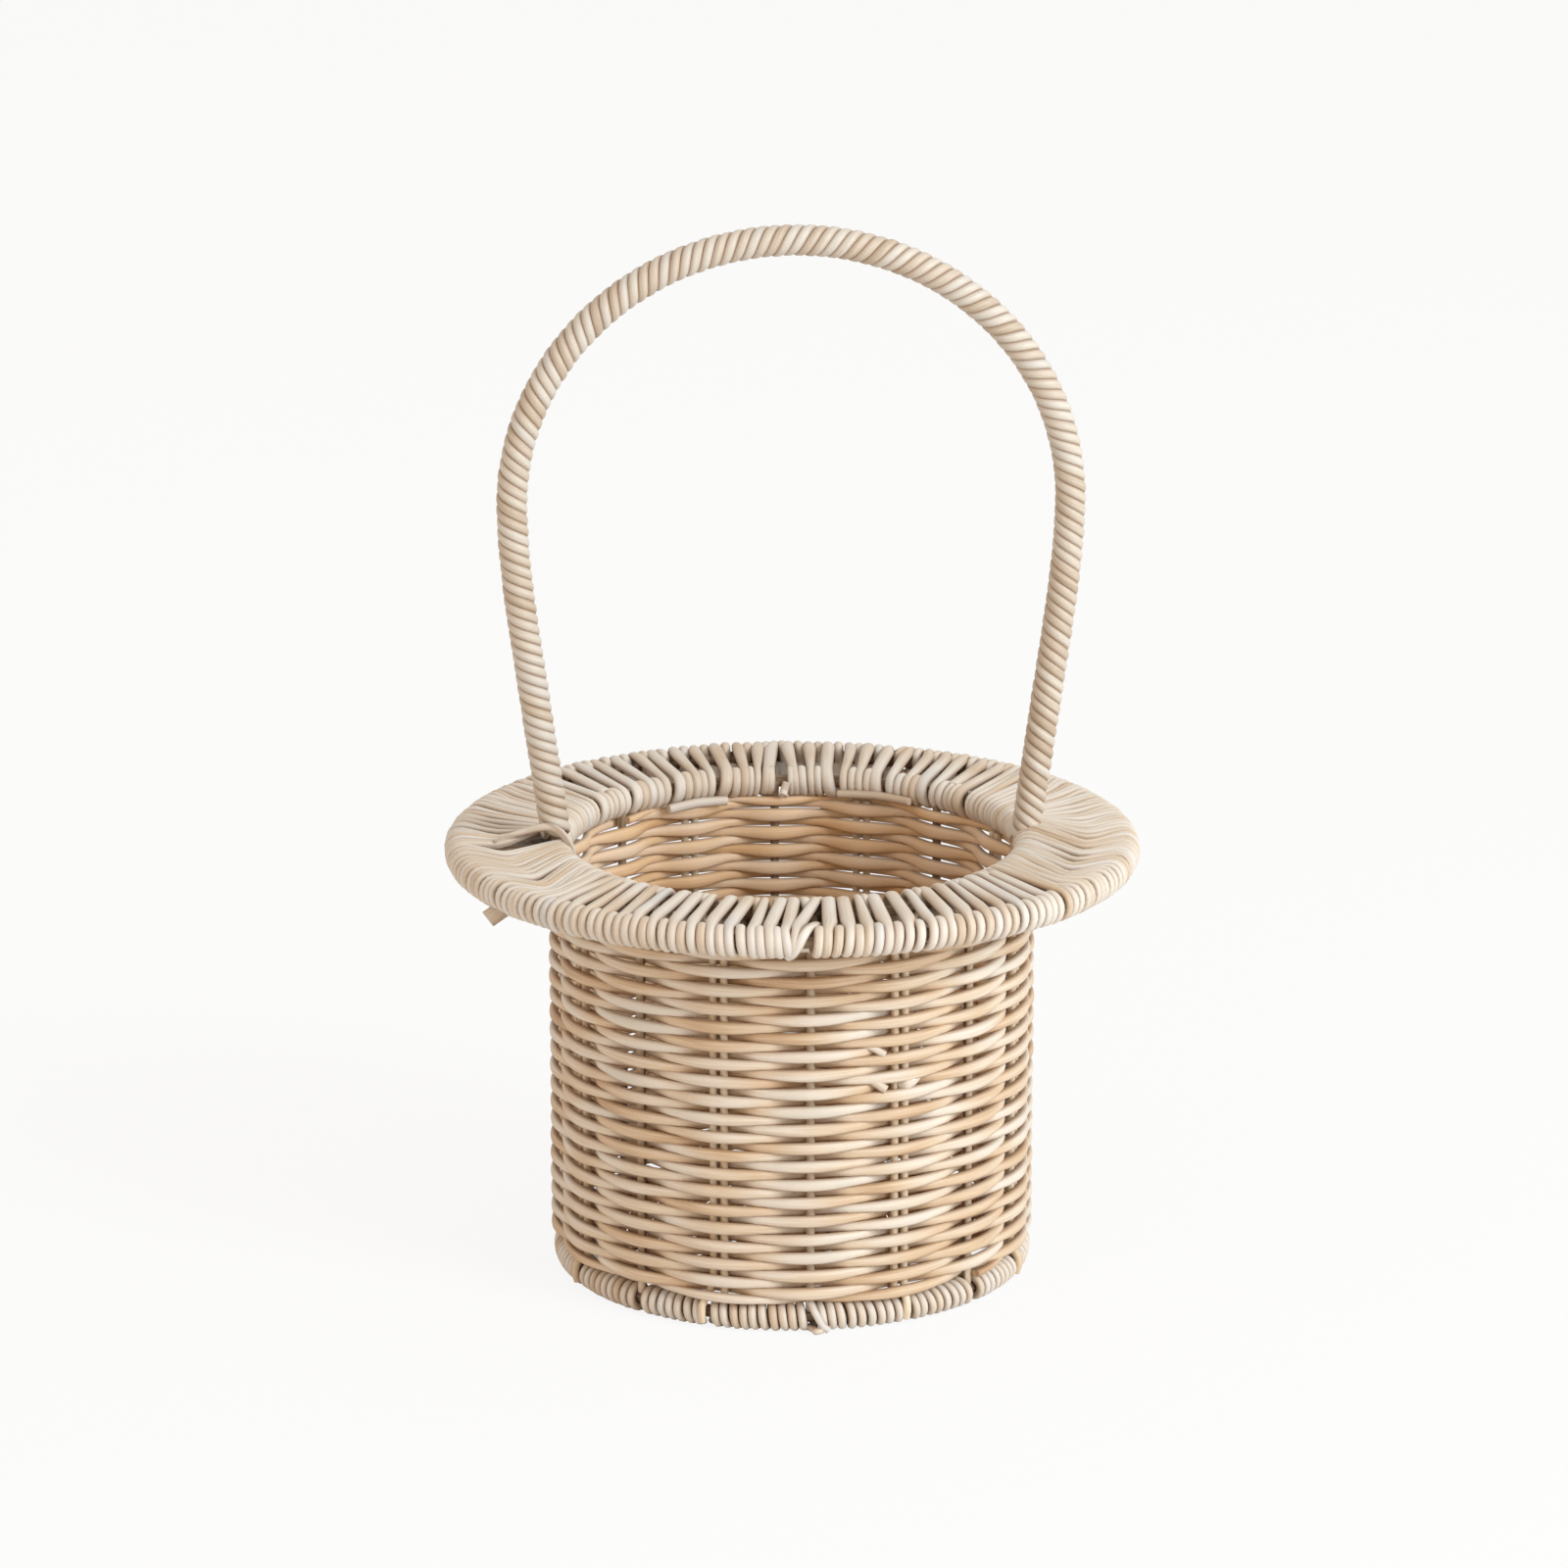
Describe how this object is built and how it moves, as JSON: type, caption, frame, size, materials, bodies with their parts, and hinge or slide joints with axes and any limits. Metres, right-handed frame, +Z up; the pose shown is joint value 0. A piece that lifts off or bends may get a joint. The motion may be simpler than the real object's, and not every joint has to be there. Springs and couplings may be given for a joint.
{
  "type": "flower basket",
  "caption": "Round woven flower basket with a straight wall, a wide laced brim like an upturned hat and a fixed arched handle wound with strand.",
  "frame": {"origin": "centre of the foot ring on the surface that the basket stands on", "axes": "+Z up through the mouth, +X towards one foot of the handle, so the handle stands in the XZ plane; -Y is the front"},
  "size_m": [0.2422, 0.2424, 0.3689],
  "materials": {
    "frame_rod": "dull dark brown paint on a thin wire rod",
    "light_cane": "smooth light tan cane, slightly streaked",
    "tan_strand": "satin tan strand with fine lengthwise streaks",
    "pale_strand": "satin cream strand with fine lengthwise streaks"
  },
  "bodies": {
    "root": {"base_hoop": "frame_rod", "top_hoop": "frame_rod", "brim_hoop": "frame_rod", "upright_1": "frame_rod", "upright_2": "frame_rod", "upright_3": "frame_rod", "upright_4": "frame_rod", "upright_5": "frame_rod", "upright_6": "frame_rod", "upright_7": "frame_rod", "upright_8": "frame_rod", "cane_1a": "light_cane", "cane_1b": "light_cane", "cane_2a": "light_cane", "cane_2b": "light_cane", "cane_3a": "light_cane", "cane_3b": "light_cane", "cane_4a": "light_cane", "cane_4b": "light_cane", "cane_5a": "light_cane", "cane_5b": "light_cane", "cane_6a": "light_cane", "cane_6b": "light_cane", "cane_7a": "light_cane", "cane_7b": "light_cane", "cane_8a": "light_cane", "cane_8b": "light_cane", "brim_spoke_1": "frame_rod", "brim_spoke_2": "frame_rod", "brim_spoke_3": "frame_rod", "brim_spoke_4": "frame_rod", "weaver_a": "tan_strand", "weaver_b": "tan_strand", "brim_lacing_1": "pale_strand", "brim_lacing_2": "pale_strand", "brim_lacing_3": "pale_strand", "brim_lacing_4": "pale_strand", "brim_lacing_5": "pale_strand", "brim_lacing_6": "pale_strand", "brim_lacing_7": "pale_strand", "brim_lacing_8": "pale_strand", "brim_lacing_9": "pale_strand", "brim_lacing_10": "pale_strand", "brim_lacing_11": "pale_strand", "brim_lacing_12": "pale_strand", "brim_lacing_13": "pale_strand", "brim_lacing_14": "pale_strand", "brim_lacing_15": "pale_strand", "brim_lacing_16": "pale_strand", "base_wrap_1": "pale_strand", "base_wrap_2": "pale_strand", "base_wrap_3": "pale_strand", "base_wrap_4": "pale_strand", "base_wrap_5": "pale_strand", "base_wrap_6": "pale_strand", "base_wrap_7": "pale_strand", "base_wrap_8": "pale_strand", "handle_rod": "frame_rod", "handle_winding": "pale_strand", "bottom_mat": "tan_strand"}
  },
  "joints": []
}
